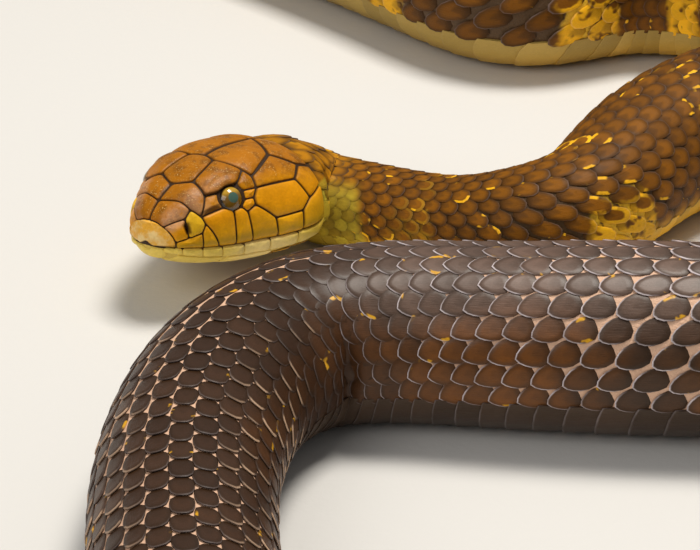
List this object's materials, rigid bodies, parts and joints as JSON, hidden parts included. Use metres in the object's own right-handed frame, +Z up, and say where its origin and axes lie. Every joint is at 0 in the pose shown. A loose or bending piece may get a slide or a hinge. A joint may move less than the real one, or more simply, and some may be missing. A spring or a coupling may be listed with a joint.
{
  "type": "king cobra model",
  "caption": "Life-size still model of a king cobra lying in a loose bend on its belly, the head just clear of the ground and the mouth closed.",
  "frame": {"origin": "middle of the footprint on the floor, under the snake", "axes": "+Z up, head end points to -X and a little to -Y, which was towards the camera; +Y is the longest extent"},
  "size_m": [0.7482, 1.0104, 0.0563],
  "materials": {
    "head_skin": "smooth satin horn shields, orange brown with thin dark seams",
    "jaw_skin": "smooth satin shields, pale yellow",
    "eye": "wet gloss, grey-green round pupil in a golden brown iris",
    "neck_skin": "satin scales, orange brown with yellow flecks",
    "body_skin": "satin overlapping scales, dark brown over tan skin with faint bands"
  },
  "bodies": {
    "root": {"head": "head_skin", "lower_jaw": "jaw_skin", "eye_left": "eye", "eye_right": "eye", "neck": "neck_skin", "torso_1": "body_skin", "torso_2": "body_skin", "torso_3": "body_skin", "torso_4": "body_skin", "torso_5": "body_skin", "torso_6": "body_skin", "torso_7": "body_skin", "torso_8": "body_skin", "torso_9": "body_skin", "torso_10": "body_skin", "torso_11": "body_skin", "torso_12": "body_skin", "torso_13": "body_skin", "torso_14": "body_skin", "tail_1": "body_skin", "tail_2": "body_skin", "tail_3": "body_skin"}
  },
  "joints": []
}
